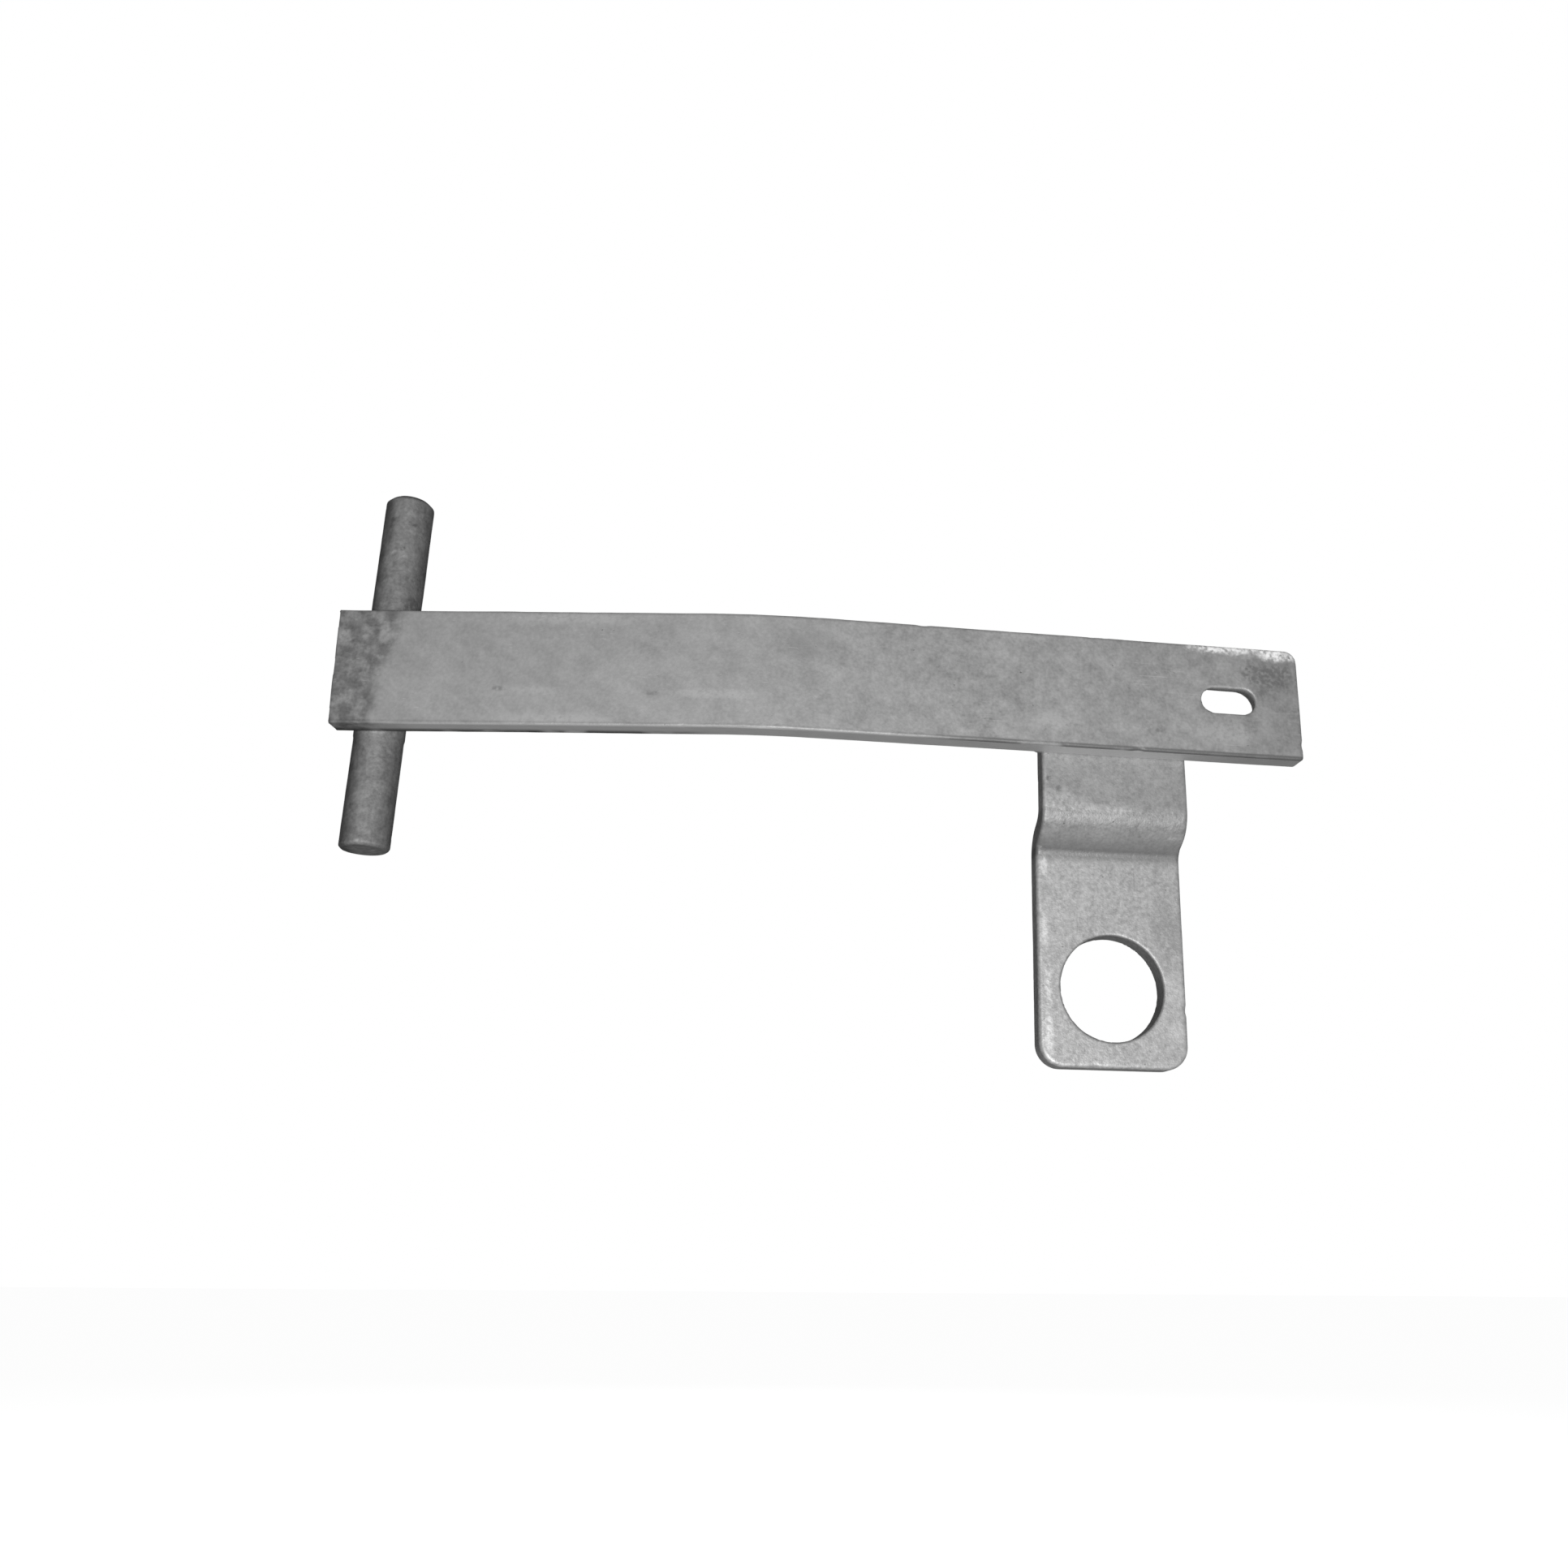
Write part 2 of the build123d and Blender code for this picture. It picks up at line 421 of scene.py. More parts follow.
def make_bead(name, start, end, first, second, corner, seed):
    """A weld run from start to end, between the toes first and second about the corner."""
    length = np.linalg.norm(end - start)
    along = (end - start) / length
    count, taper = max(24, round(length / (0.3 * MM))), 2.2 * MM
    rings = []
    for i in range(count + 1):
        run = length * i / count
        near_end = min(run, length - run) / taper
        size = 1.0 if near_end >= 1 else max(0.12, math.sqrt(1 - (1 - near_end) ** 2))
        rings.append(bead_ring(start + along * run, first, second, corner, size, run, seed))
    ends = (np.mean(rings[0], axis=0), np.mean(rings[-1], axis=0))
    return outward(closed_tube(name, rings, ends))


def outward(obj):
    """Turns the faces so that they all look out of the closed mesh."""
    mesh = bmesh.new()
    mesh.from_mesh(obj.data)
    bmesh.ops.recalc_face_normals(mesh, faces=mesh.faces)
    mesh.to_mesh(obj.data)
    mesh.free()
    return obj


def pin_bead(node, side, seed):
    """Fills the corner between the pin and the strap's back, on one side of the pin."""
    low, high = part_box(node)
    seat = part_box("hinge_pin")[1].x
    touch = -NEAR_BACK * seat
    strap_toe = touch + NEAR_ALONG * side * PIN_BEAD_TOE
    rise = PIN_BEAD_RISE
    pin_toe = (NEAR_ALONG * side * math.cos(rise) - NEAR_BACK * math.sin(rise)) * seat
    corner = touch + NEAR_ALONG * side * PIN_BEAD_ROOT + NEAR_BACK * PIN_BEAD_ROOT_OFF
    return make_bead(node + "_run", UP * low.z, UP * high.z, strap_toe, pin_toe, corner, seed)


def tab_beads():
    """The runs round the tab's lap: its two sides and its top."""
    low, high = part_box("cranked_tab")
    back, top = low.y, high.z
    behind = np.array((0.0, BEAD_LEG, 0.0))
    corner = np.zeros(3)
    beads = []
    for node, x, way in (("tab_weld_near", low.x, -1), ("tab_weld_far", high.x, 1)):
        bottom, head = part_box(node)
        start, end = np.array((x, back, bottom.z)), np.array((x, back, head.z))
        toe = np.array((way * BEAD_LEG, 0.0, 0.0))
        beads.append(make_bead(node + "_run", start, end, toe, behind, corner, way + 4))
    node = "tab_weld_top"
    left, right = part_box(node)
    start, end = np.array((left.x, back, top)), np.array((right.x, back, top))
    beads.append(make_bead(node + "_run", start, end, UP * BEAD_LEG, behind, corner, 8))
    return beads


# ---------------------------------------------------------------- materials
# Brightness of the zinc on each kind of piece, from 0 to 1
STRAP_TONE = 0.33
TAB_TONE = 0.30
PIN_TONE = 0.20
WELD_TONE = 0.36
METALLIC = 0.30  # the same on all of them


class Zinc:
    """Node shorthand for one galvanised surface. Sizes are in metres, in the frame's axes."""

    def __init__(self, name):
        self.material = bpy.data.materials.new(name)
        self.material.use_nodes = True
        tree = self.material.node_tree
        self.nodes, self.links = tree.nodes, tree.links
        self.shader = self.nodes["Principled BSDF"]
        self.place = self.nodes.new("ShaderNodeTexCoord").outputs["Object"]
        split = self.nodes.new("ShaderNodeSeparateXYZ")
        self.links.new(self.place, split.inputs[0])
        self.x, self.y, self.z = split.outputs

    def put(self, socket, value):
        if isinstance(value, bpy.types.NodeSocket):
            self.links.new(value, socket)
        else:
            socket.default_value = value

    def math(self, how, first, second=0.0, third=0.0):
        node = self.nodes.new("ShaderNodeMath")
        node.operation = how
        for socket, value in zip(node.inputs, (first, second, third)):
            self.put(socket, value)
        return node.outputs[0]

    def add(self, *values):
        total = values[0]
        for value in values[1:]:
            total = self.math("ADD", total, value)
        return total

    def times(self, *values):
        total = values[0]
        for value in values[1:]:
            total = self.math("MULTIPLY", total, value)
        return total

    def turned(self, tilt):
        """Places turned about Y, to lay streaks at a slant on the faces."""
        turn = self.nodes.new("ShaderNodeVectorRotate")
        turn.rotation_type = "Y_AXIS"
        turn.inputs["Angle"].default_value = tilt
        self.links.new(self.place, turn.inputs["Vector"])
        return turn.outputs[0]

    def grain(self, size, detail=2.0, stretch=(1, 1, 1), shift=0.0, tilt=0.0):
        """Noise from 0 to 1, mostly near a half, with blotches of the given size."""
        mapping = self.nodes.new("ShaderNodeMapping")
        mapping.inputs["Location"].default_value = (shift, shift * 0.7, shift * 1.3)
        mapping.inputs["Scale"].default_value = [1 / (size * s) for s in stretch]
        self.links.new(self.turned(tilt) if tilt else self.place, mapping.inputs["Vector"])
        texture = self.nodes.new("ShaderNodeTexNoise")
        texture.inputs["Scale"].default_value = 1.0
        texture.inputs["Detail"].default_value = detail
        self.links.new(mapping.outputs[0], texture.inputs["Vector"])
        return texture.outputs["Fac"]

    def sway(self, size, amount, **kind):
        """Noise about zero."""
        return self.math("MULTIPLY_ADD", self.grain(size, **kind), amount, -amount / 2)

    def band(self, value, start, stop):
        """0 at start, 1 at stop, and smooth between them."""
        node = self.nodes.new("ShaderNodeMapRange")
        node.interpolation_type = "SMOOTHSTEP"
        self.put(node.inputs["Value"], value)
        node.inputs["From Min"].default_value = min(start, stop)
        node.inputs["From Max"].default_value = max(start, stop)
        node.inputs["To Min"].default_value = 0.0 if stop > start else 1.0
        node.inputs["To Max"].default_value = 1.0 if stop > start else 0.0
        return node.outputs[0]

    def toward(self, value, goal, share):
        """Moves a value towards a goal by a share from 0 to 1."""
        return self.add(value, self.times(self.math("SUBTRACT", goal, value), share))

    def dimmed(self, value, share, amount):
        """Darkens a value by an amount where the share is 1."""
        return self.times(value, self.add(1.0, self.times(share, -amount)))

    def finish(self, tone, rough, height, depth):
        """Wires the shader: a grey tone, roughness, and relief of the given depth."""
        colour = self.nodes.new("ShaderNodeCombineColor")
        for channel in colour.inputs:
            self.put(channel, tone)
        self.links.new(colour.outputs[0], self.shader.inputs["Base Color"])
        self.put(self.shader.inputs["Roughness"], rough)
        self.shader.inputs["Metallic"].default_value = METALLIC
        bump = self.nodes.new("ShaderNodeBump")
        bump.inputs["Strength"].default_value = 1.0
        bump.inputs["Distance"].default_value = depth
        self.links.new(height, bump.inputs["Height"])
        self.links.new(bump.outputs[0], self.shader.inputs["Normal"])
        return self.material


def worn_share(zinc):
    """Where the zinc is rubbed bright, on the outer rims, in patches."""
    pointed = zinc.nodes.new("ShaderNodeNewGeometry").outputs["Pointiness"]
    rim = zinc.band(pointed, 0.515, 0.58)
    return zinc.times(rim, zinc.band(zinc.grain(5 * MM, shift=2.0), 0.42, 0.62))


def hollow_grime_and_shade(zinc):
    """Inner corners and pits, where dirt stays and where painted shade stands in for the shade in
    them.
    """
    pointed = zinc.nodes.new("ShaderNodeNewGeometry").outputs["Pointiness"]
    return zinc.band(pointed, 0.485, 0.43)


def scratches(zinc, stretch, shift):
    """Sparse fine lines."""
    lines = zinc.band(zinc.grain(0.35 * MM, 0.0, stretch, shift), 0.74, 0.82)
    return zinc.times(lines, zinc.band(zinc.grain(16 * MM, shift=shift), 0.5, 0.62))


def mottle(zinc, cloud, spot, speckle):
    """Brightness of the zinc about 1: soft clouds, crystals of a few mm, and fine grain."""
    clouds = zinc.sway(13 * MM, cloud, detail=3.0)
    crystals = zinc.sway(3.2 * MM, spot, detail=3.0, shift=4.0)
    fine = zinc.sway(1.1 * MM, speckle, detail=2.0, shift=9.0)
    return zinc.add(1.0, clouds, crystals, fine)


def pits(zinc, size, shift):
    return zinc.band(zinc.grain(size, 1.0, shift=shift), 0.78, 0.86)


def surface(zinc, tone, rough, relief, depth, worn, grime_and_shade):
    """Adds wear, dirt with painted shade in the hollows, roughness and relief to a tone, and closes
    the material.
    """
    coarse, fine = relief
    rubbed_bright = zinc.times(worn_share(zinc), worn)
    tone = zinc.toward(tone, 0.62, rubbed_bright)
    # darkens the hollows: dirt, and painted shade where shade falls
    tone = zinc.toward(tone, 0.05, zinc.times(hollow_grime_and_shade(zinc), grime_and_shade))
    holes = pits(zinc, 1.7 * MM, 6.0)
    tone = zinc.toward(tone, 0.06, zinc.times(holes, 0.55))
    rough = zinc.add(rough, zinc.sway(7 * MM, 0.22, shift=3.0), zinc.sway(0.9 * MM, 0.12))
    rough = zinc.math("SUBTRACT", rough, zinc.times(rubbed_bright, 0.2))
    height = zinc.add(
        zinc.times(zinc.grain(3.5 * MM, 2.0, shift=5.0), coarse),
        zinc.times(zinc.grain(0.6 * MM, 2.0, shift=8.0), fine),
        zinc.times(holes, -1.2),
    )
    return zinc.finish(tone, rough, height, depth)


def oval(zinc, centre, half, ragged):
    """1 inside an oval patch, 0 outside, with a ragged edge. Centre and half sizes in mm."""
    shift = zinc.nodes.new("ShaderNodeVectorMath")
    shift.operation = "SUBTRACT"
    zinc.links.new(zinc.place, shift.inputs[0])
    shift.inputs[1].default_value = [value * MM for value in centre]
    shrink = zinc.nodes.new("ShaderNodeVectorMath")
    shrink.operation = "DIVIDE"
    zinc.links.new(shift.outputs[0], shrink.inputs[0])
    shrink.inputs[1].default_value = [value * MM for value in half]
    reach = zinc.nodes.new("ShaderNodeVectorMath")
    reach.operation = "LENGTH"
    zinc.links.new(shrink.outputs[0], reach.inputs[0])
    size = min(half) * 0.9 * MM
    away = zinc.add(reach.outputs["Value"], zinc.sway(size, ragged * 1.6, detail=3.0))
    return zinc.band(away, 1.35, 0.35)


def ovals(zinc, patches, ragged):
    """1 inside any of the patches, 0 outside, and speckled."""
    share = 0.0
    for centre, half in patches:
        share = zinc.math("MAXIMUM", share, oval(zinc, centre, half, ragged))
    return zinc.times(share, zinc.band(zinc.grain(1.3 * MM, 2.0, shift=7.0), 0.22, 0.62))


def marked(zinc, tone, goal, share, patches, ragged=0.5):
    """Moves a tone towards a goal by a share, inside the patches."""
    return zinc.toward(tone, goal, zinc.times(ovals(zinc, patches, ragged), share))


def strap_depth(zinc):
    """Distance behind the strap's face, on both legs."""
    near = zinc.add(
        zinc.times(zinc.x, math.sin(KNEE_ANGLE)),
        zinc.times(zinc.y, math.cos(KNEE_ANGLE)),
        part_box("hinge_pin")[1].x + STRAP_THICK,
    )
    far = zinc.math("SUBTRACT", zinc.y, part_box("strap")[0].y)
    return zinc.math("MINIMUM", near, far)


def strap_edges(zinc, tone):
    """The underside is painted brighter beyond the pin, less so at the free end, as painted light
    that stands in for the light on it. The front rim is painted darker, as painted shade that damps
    its highlight, with a patchy dark line along it on the far leg, and a dark line runs along the
    back rim on the near leg."""
    deep = strap_depth(zinc)
    underside_share = zinc.times(zinc.band(zinc.z, 0.6 * MM, 0.1 * MM), zinc.band(zinc.x, 2 * MM, 16 * MM))
    end = zinc.band(zinc.x, 270 * MM, 292 * MM)
    underside_painted_light = zinc.math("MULTIPLY_ADD", end, STRAP_TONE * -0.25, STRAP_TONE * 1.7)
    # painted light: the underside is brightened to stand in for the light falling on it
    tone = zinc.toward(tone, underside_painted_light, zinc.times(underside_share, 0.85))
    far = zinc.band(zinc.x, 165 * MM, 200 * MM)
    near = zinc.band(zinc.x, 115 * MM, 90 * MM)
    patchy = zinc.band(zinc.grain(16 * MM, 3.0, shift=6.3), 0.30, 0.50)
    rim = zinc.times(zinc.band(zinc.z, 1.7 * MM, 0.9 * MM), zinc.band(deep, 1.1 * MM, 0.6 * MM))
    # painted shade: the front rim is darkened to damp the highlight on its rounded edge
    tone = zinc.dimmed(tone, rim, 0.25)
    tone = zinc.toward(tone, STRAP_TONE * 0.38, zinc.times(rim, patchy, far))
    back = zinc.times(zinc.band(deep, 3.5 * MM, 6.5 * MM), zinc.band(zinc.z, 1.0 * MM, 0.5 * MM))
    return zinc.toward(tone, 0.04, zinc.times(back, patchy, near, 0.9))


def strap_legs(zinc):
    """The far leg's zinc is grainier and a little darker than the near leg's, and both have
    slanted wisps."""
    far = zinc.band(zinc.x, 100 * MM, 190 * MM)
    near_zinc, far_zinc = mottle(zinc, 0.34, 0.22, 0.36), mottle(zinc, 0.46, 0.58, 0.58)
    grainy = zinc.dimmed(zinc.toward(near_zinc, far_zinc, far), far, 0.07)
    wisps = zinc.sway(5 * MM, 0.36, detail=3.0, stretch=(3.2, 1, 1), shift=2.2, tilt=-0.6)
    return zinc.times(zinc.add(grainy, wisps), STRAP_TONE)


def strap_pin_end(zinc, tone):
    """The pin end is darker and blotchy, with a ragged border, and has two light spots."""
    border = zinc.add(zinc.x, zinc.sway(10 * MM, 11 * MM, detail=3.0), zinc.times(zinc.z, -0.14))
    dark = zinc.band(border, 3.2 * MM, -3.8 * MM)
    blotches = zinc.band(zinc.grain(4 * MM, 4.0, shift=1.5), 0.36, 0.70)
    dark_tone = zinc.add(STRAP_TONE * 0.44, zinc.times(blotches, STRAP_TONE * 0.40))
    dark_tone = zinc.times(dark_tone, mottle(zinc, 0.0, 0.35, 0.8))
    tone = zinc.toward(tone, dark_tone, dark)
    spots = ((-12, -15, 30.5), (2.5, 3, 3)), ((1.5, -17, 32), (2, 3, 4))
    return marked(zinc, tone, STRAP_TONE * 1.1, 0.8, spots, 0.8)


def strap_marks(zinc, tone):
    """Light scuffs along the bar, small dark stains, and a larger one at the knee."""
    scuffs = (
        ((50, -24, 12), (10, 8, 1.8)),
        ((109, -33, 11.5), (17, 8, 1.8)),
        ((62, -26, 37.5), (30, 9, 2.6)),
        ((58, -25, 2.2), (20, 8, 2.0)),
        ((212, -35, 38.2), (9, 4, 1.6)),
        ((222, -35, 8.5), (9, 4, 4)),
        ((283, -35, 8), (14, 4, 4.5)),
    )
    tone = marked(zinc, tone, STRAP_TONE * 1.28, 0.7, scuffs)
    stains = (
        ((2.5, -16.5, 39.6), (3.0, 4, 1.2)),
        ((-8, -15, 35.5), (2.5, 3, 1.6)),
        ((-10, -15.5, 13.4), (8, 3, 0.5)),
        ((40, -22, 12.5), (2.4, 5, 1)),
        ((90, -30, 11.4), (2.2, 5, 0.9)),
        ((200, -35, 7.7), (2, 3, 0.8)),
        ((258, -35, 7.7), (2, 3, 0.9)),
    )
    tone = marked(zinc, tone, STRAP_TONE * 0.55, 0.75, stains)
    knee_stain = oval(zinc, (140, -35, 29), (8, 5, 5), 1.2)
    return zinc.toward(tone, STRAP_TONE * 0.75, zinc.times(knee_stain, 0.6))


def strap_free_end(zinc, tone):
    """Beyond the slot it is duller, with a stain near the upper corner. Its upper edge is rubbed
    bright, in two places most of all, and painted up to white there as a painted highlight."""
    end = zinc.add(zinc.x, zinc.sway(9 * MM, 12 * MM, detail=3.0), zinc.times(zinc.z, -0.15))
    tone = zinc.dimmed(tone, zinc.band(end, 286 * MM, 290 * MM), 0.12)
    stain = ((298, -35, 29.5), (9.5, 4, 6.5)), ((291.5, -35, 31), (2.5, 4, 5))
    tone = marked(zinc, tone, STRAP_TONE * 0.45, 0.9, stain, 1.1)
    bright = (
        ((283, -34, 39.4), (13, 6, 2.3)),
        ((300.5, -34, 38.4), (8, 6, 2.7)),
        ((291, -34, 39.9), (18, 6, 1.2)),
    )
    # rubbed bright edge, painted up to white as a painted highlight
    return marked(zinc, tone, 1.0, 1.0, bright, 0.9)


def strap_zinc():
    zinc = Zinc("strap_zinc")
    tone = strap_pin_end(zinc, strap_legs(zinc))
    tone = strap_free_end(zinc, strap_marks(zinc, tone))
    lines = scratches(zinc, (45, 1, 1), 1.0)
    tone = zinc.toward(tone, 0.6, zinc.times(lines, 0.3))
    tone = strap_edges(zinc, tone)
    return surface(zinc, tone, 0.54, (0.5, 0.4), 0.10 * MM, 0.12, 0.5)


def tab_zones(zinc):
    """From the top down: plain zinc with two pits, a granular painted highlight above the crank
    that widens the bend's highlight, painted shade on the crank's slope that damps its highlight,
    and light below it."""
    tone = zinc.times(mottle(zinc, 0.30, 0.46, 0.70), TAB_TONE)
    two_pits = ((221.6, -27, -8.9), (1.1, 2, 1.1)), ((224.6, -27, -11.9), (1.2, 2, 1.0))
    tone = marked(zinc, tone, 0.07, 0.6, two_pits, 0.8)
    # painted highlight: a granular bright band above the crank, widening the bend's highlight
    line = zinc.add(zinc.z, zinc.times(zinc.x, 0.2), zinc.sway(6 * MM, 12 * MM, detail=4.0))
    below_line = zinc.band(line, 33.5 * MM, 29.5 * MM)
    bend_highlight_share = zinc.times(below_line, zinc.band(zinc.z, -23 * MM, -19 * MM))
    grainy = zinc.times(mottle(zinc, 0.2, 0.45, 1.1), TAB_TONE * 1.30)
    tone = zinc.toward(tone, grainy, zinc.times(bend_highlight_share, 0.9))
    # painted shade: the crank's slope is darkened to damp the highlight on it
    slope = zinc.times(zinc.band(zinc.z, -18 * MM, -20 * MM), zinc.band(zinc.z, -26 * MM, -24 * MM))
    tone = zinc.toward(tone, zinc.times(mottle(zinc, 0.3, 0.5, 1.0), TAB_TONE * 0.86), slope)
    ragged = zinc.add(zinc.z, zinc.sway(7 * MM, 7 * MM, detail=4.0, shift=1.1))
    light = zinc.times(mottle(zinc, 0.24, 0.34, 0.95), TAB_TONE * 1.27)
    return zinc.toward(tone, light, zinc.band(ragged, -30 * MM, -34.5 * MM))


def tab_crease_shade(zinc, tone):
    """Painted shade in the crank's lower bend, and most of all in the bottom of it, which damps the
    bend's highlight there.
    """
    above = zinc.band(zinc.z, -26.5 * MM, -29.5 * MM)
    crease_shade = zinc.times(above, zinc.band(zinc.z, -35.5 * MM, -32.2 * MM))
    # painted shade along the lower bend
    tone = zinc.toward(tone, TAB_TONE * 0.66, zinc.times(crease_shade, 0.55))
    above = zinc.band(zinc.z, -29.0 * MM, -30.4 * MM)
    bottom = zinc.times(above, zinc.band(zinc.z, -33.2 * MM, -31.6 * MM))
    return zinc.dimmed(tone, bottom, 0.32)


def tab_hole_rim_shade(zinc, tone):
    """The rim of the round hole is painted darker than the face round it: painted shade that damps
    the rim's highlight.
    """
    hole = MOUNTS["tube_hole"]
    centre, radius = hole["pos_m"], hole["dims"]["r_mm"] * MM
    aside, above = zinc.add(zinc.x, -centre[0]), zinc.add(zinc.z, -centre[2])
    reach = zinc.math("SQRT", zinc.add(zinc.times(aside, aside), zinc.times(above, above)))
    return zinc.dimmed(tone, zinc.band(reach, radius + 1.0 * MM, radius), 0.35)


def tab_marks(zinc, tone):
    """Painted highlight in streaks inside the near edge, fainter patches beside the hole and
    painted shade on its rim, dull shades, scratches, and a bright mark on the crank."""
    streaks = (
        ((222.2, -16, -36), (1.4, 4, 3.5)),
        ((222.2, -16, -58), (1.2, 4, 6)),
        ((222.8, -16, -76), (1.4, 4, 8)),
        ((222.9, -16, -92), (1.5, 4, 8)),
    )
    # painted highlight: bright streaks along the near edge's rounded rim, where it catches the
    # light
    tone = marked(zinc, tone, 0.68, 0.8, streaks, 0.9)
    beside_hole = ((265.5, -16, -75), (4, 4, 5)), ((266, -16, -90), (3, 4, 4))
    tone = marked(zinc, tone, 0.55, 0.55, beside_hole, 1.0)
    tone = tab_hole_rim_shade(zinc, tone)
    shades = ((264, -16, -58), (5.5, 4, 13)), ((247.5, -16, -89), (2.2, 3, 0.8))
    tone = marked(zinc, tone, TAB_TONE * 0.85, 0.7, shades, 0.9)
    lines = scratches(zinc, (1.5, 1, 30), 3.0)
    tone = zinc.toward(tone, 0.15, zinc.times(lines, 0.3))
    bright_mark = ((265.2, -26, -26.5), (2.6, 4, 0.6))
    return marked(zinc, tone, 0.60, 0.6, [bright_mark], 0.8)


def tab_zinc():
    zinc = Zinc("tab_zinc")
    tone = tab_marks(zinc, tab_crease_shade(zinc, tab_zones(zinc)))
    # only the outer edges are rubbed bright
    middle = MOUNTS["tube_hole"]["pos_m"][0]
    aside = zinc.math("ABSOLUTE", zinc.add(zinc.x, -middle))
    sides, foot = zinc.band(aside, 22 * MM, 23.5 * MM), zinc.band(zinc.z, -98 * MM, -100 * MM)
    outer = zinc.math("MAXIMUM", sides, foot)
    return surface(zinc, tone, 0.50, (0.35, 0.65), 0.12 * MM, zinc.times(outer, 0.45), 0.6)


def pin_zinc():
    zinc = Zinc("pin_zinc")
    tone = zinc.times(mottle(zinc, 0.65, 0.85, 0.85), PIN_TONE)
    streaks = zinc.sway(1.6 * MM, PIN_TONE * 0.35, detail=2.0, stretch=(1, 1, 14))
    tone = zinc.add(tone, streaks)
    # both flanks are painted darker than the front, as painted shade, above all the one towards the
    # strap's end
    near = zinc.band(zinc.add(zinc.x, zinc.sway(9 * MM, 6 * MM, detail=3.0)), -1.5 * MM, -7 * MM)
    far = zinc.band(zinc.add(zinc.x, zinc.sway(9 * MM, 5 * MM, detail=3.0)), 3.5 * MM, 8 * MM)
    tone = zinc.times(tone, zinc.add(1.0, zinc.times(near, -0.62), zinc.times(far, -0.12)))
    dirt = (
        ((-3.4, -7.2, 78), (1.0, 3, 1.2)),
        ((3.6, -7.2, 76.5), (1.3, 3, 0.8)),
        ((1.2, -8, 67), (1.0, 3, 1.1)),
        ((6, -5.5, 46), (2.5, 3, 5)),
        ((-5.5, -5.5, 84), (2.0, 3, 1.5)),
    )
    tone = marked(zinc, tone, PIN_TONE * 0.35, 0.7, dirt, 0.8)
    return surface(zinc, tone, 0.62, (0.6, 0.5), 0.14 * MM, 0.3, 0.5)


def weld_zinc():
    zinc = Zinc("weld_zinc")
    tone = zinc.times(mottle(zinc, 0.30, 0.35, 0.30), WELD_TONE)
    return surface(zinc, tone, 0.48, (0.4, 0.5), 0.10 * MM, 0.5, 0.35)


# ---------------------------------------------------------------- camera, light, floor
# The camera stands in front of the knee and well below the strap, and looks up at it.
CAMERA_PLACE = Vector((111.46, -442.47, -147.02)) * MM
CAMERA_RIGHT = Vector((0.98975, -0.14211, 0.01386))
CAMERA_UP = Vector((-0.05608, -0.29764, 0.95303))
SENSOR_WIDTH = 36  # mm
FOCAL_LENGTH = 30.85  # mm
SIDE_SHIFT = -0.0694  # of the picture's width

# The lamps, as (place, diameter, watts): one behind and below the camera, and one high up
# behind the part
KEY_LAMP = ((0.11, -0.96, -0.37), 0.22, 12.0)
BACK_LAMP = ((0.35, 2.2, 0.80), 0.5, 50)
STUDIO_GLOW = 0.08  # strength of the white surroundings as a light


def make_camera():
    data = bpy.data.cameras.new("camera")
    camera = new_object("camera", data)
    data.sensor_width = SENSOR_WIDTH
    data.lens = FOCAL_LENGTH
    data.shift_x = SIDE_SHIFT
    right = CAMERA_RIGHT.normalized()
    back = right.cross(CAMERA_UP).normalized()
    turn = Matrix((right, back.cross(right), back)).transposed().to_4x4()
    camera.matrix_world = Matrix.Translation(CAMERA_PLACE) @ turn
    bpy.context.scene.camera = camera


def make_world():
    """A plain white studio: bright where the camera sees it, and dimmer as a light."""
    world = bpy.data.worlds.new("studio")
    bpy.context.scene.world = world
    world.use_nodes = True
    nodes, links = world.node_tree.nodes, world.node_tree.links
    nodes.clear()
    out = nodes.new("ShaderNodeOutputWorld")
    mix = nodes.new("ShaderNodeMixShader")
    path = nodes.new("ShaderNodeLightPath")
    fill = nodes.new("ShaderNodeBackground")
    fill.inputs["Strength"].default_value = STUDIO_GLOW
    seen = nodes.new("ShaderNodeBackground")
    for background in (fill, seen):
        background.inputs["Color"].default_value = (1, 1, 1, 1)
    links.new(path.outputs["Is Camera Ray"], mix.inputs[0])
    links.new(fill.outputs[0], mix.inputs[1])
    links.new(seen.outputs[0], mix.inputs[2])
    links.new(mix.outputs[0], out.inputs["Surface"])


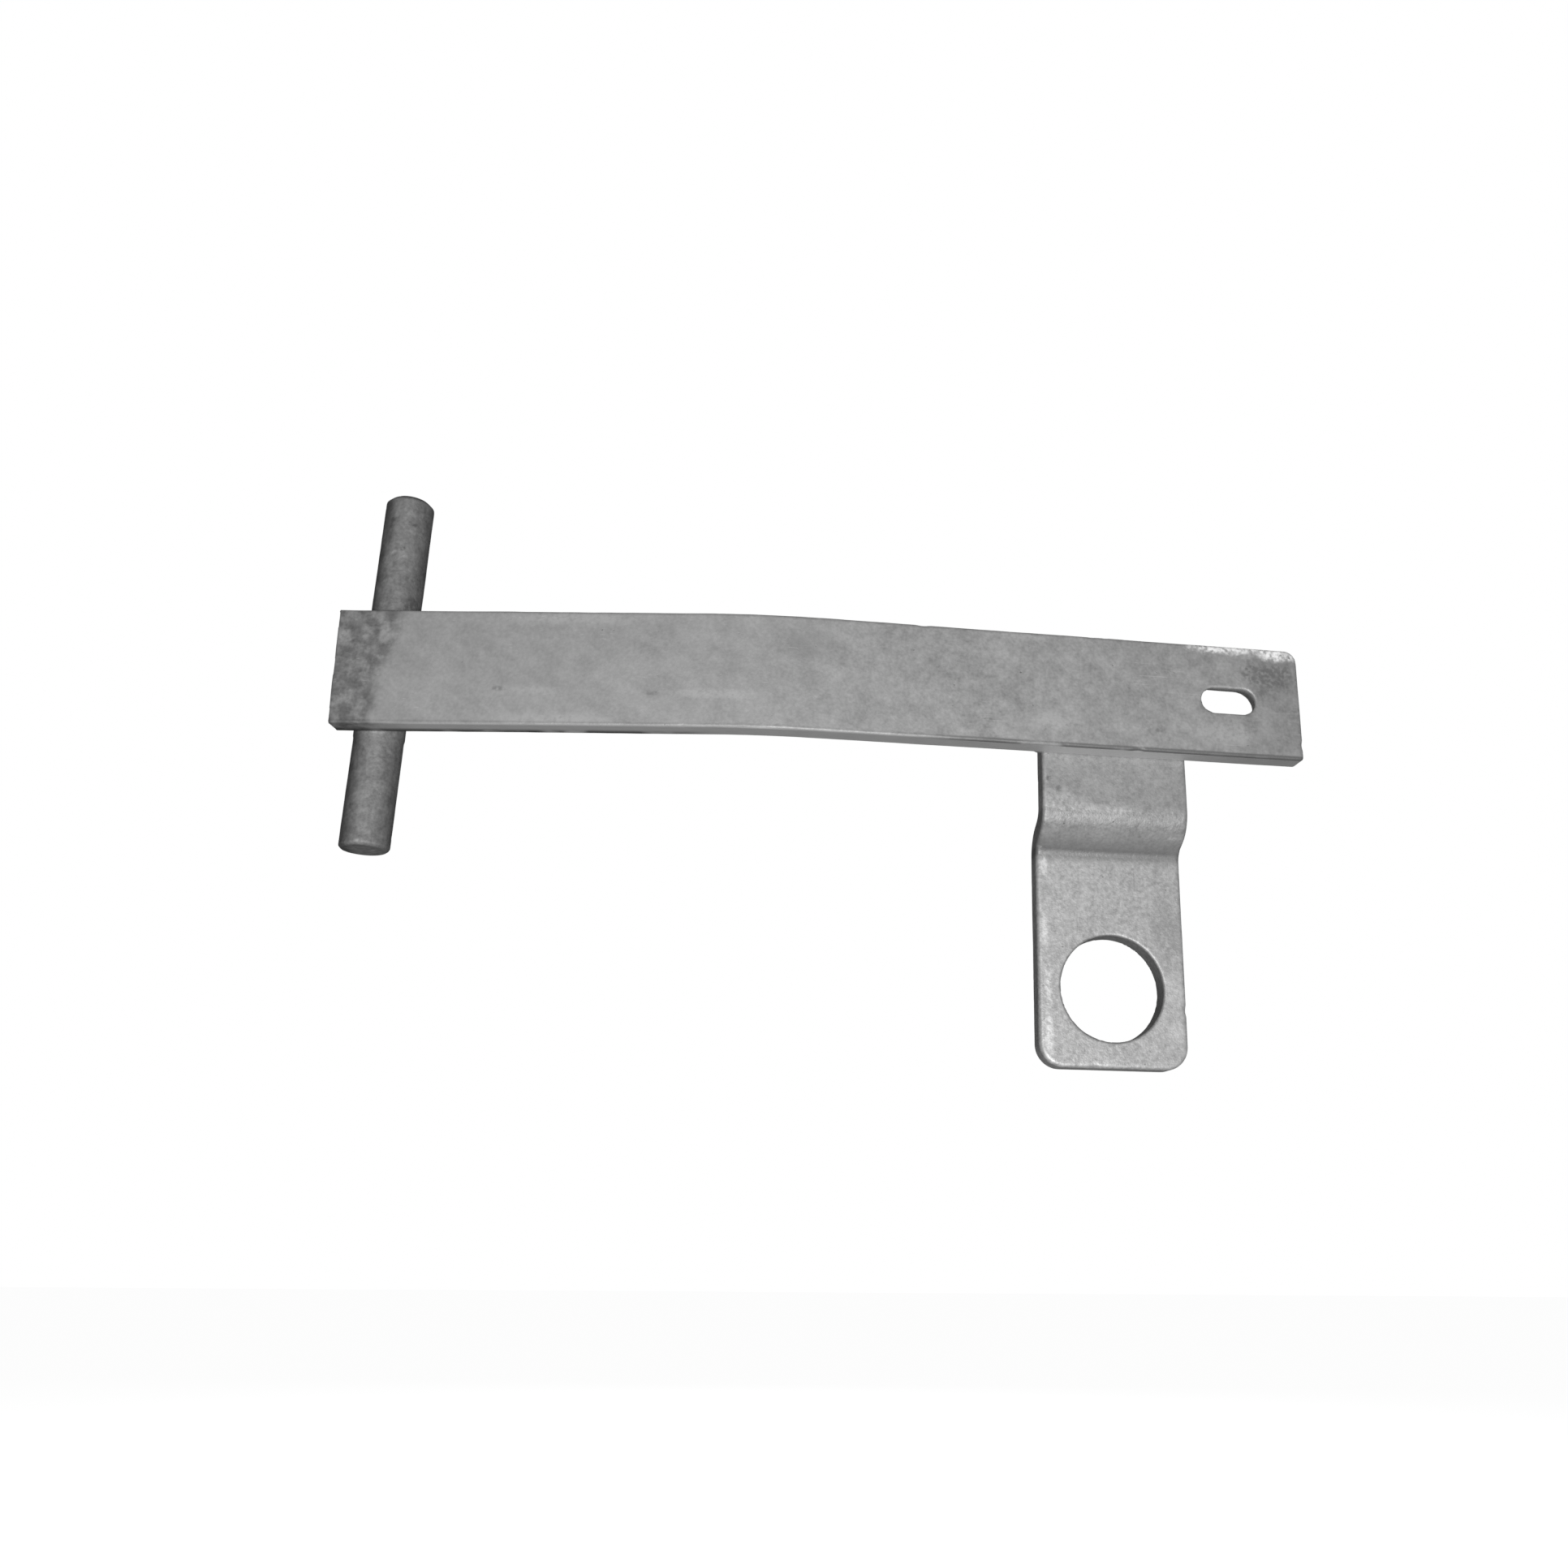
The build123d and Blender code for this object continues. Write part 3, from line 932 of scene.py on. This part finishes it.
def make_light(name, lamp, glossy=True):
    """A round lamp that faces the middle of the part, with or without its reflection."""
    place, size, watts = lamp
    data = bpy.data.lights.new(name, "AREA")
    data.shape = "DISK"
    data.size = size
    data.energy = watts
    light = new_object(name, data)
    light.location = place
    facing = (CAD_LOW + CAD_HIGH) / 2 - Vector(place)
    light.rotation_euler = facing.to_track_quat("-Z", "Y").to_euler()
    light.visible_glossy = glossy


def make_floor():
    """A plain pale floor, well below the part, that glows so that it stays even."""
    half, height = 6.0, CAD_LOW.z - 0.40
    around = ((-half, -half), (half, -half), (half, half), (-half, half))
    corners = [(x, y, height) for x, y in around]
    mesh = bpy.data.meshes.new("floor")
    mesh.from_pydata(corners, [], [(0, 1, 2, 3)])
    floor = new_object("floor", mesh)
    material = bpy.data.materials.new("floor")
    material.use_nodes = True
    shader = material.node_tree.nodes["Principled BSDF"]
    shader.inputs["Base Color"].default_value = (0.1, 0.1, 0.1, 1)
    shader.inputs["Roughness"].default_value = 1.0
    shader.inputs["Specular IOR Level"].default_value = 0.0
    shader.inputs["Emission Color"].default_value = (1, 1, 1, 1)
    shader.inputs["Emission Strength"].default_value = 0.97
    mesh.materials.append(material)
    floor.visible_diffuse = False
    floor.visible_glossy = False


# ---------------------------------------------------------------- the scene
def place(piece, node, slot, material):
    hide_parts(node)
    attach(piece, "root")
    piece.data.materials.clear()
    piece.data.materials.append(material)


bpy.context.scene.view_settings.view_transform = "Standard"
place(make_strap(), "strap", "galvanised_strap", strap_zinc())
place(make_tab(), "cranked_tab", "galvanised_tab", tab_zinc())
place(make_pin(), "hinge_pin", "galvanised_pin", pin_zinc())
weld = weld_zinc()
for seed, (node, side) in enumerate((("pin_weld_outer", -1), ("pin_weld_inner", 1))):
    place(pin_bead(node, side, seed + 1), node, "galvanised_weld", weld)
for bead, node in zip(tab_beads(), ("tab_weld_near", "tab_weld_far", "tab_weld_top")):
    place(bead, node, "galvanised_weld", weld)
make_camera()
make_world()
make_floor()
make_light("key", KEY_LAMP)
make_light("back", BACK_LAMP, glossy=False)
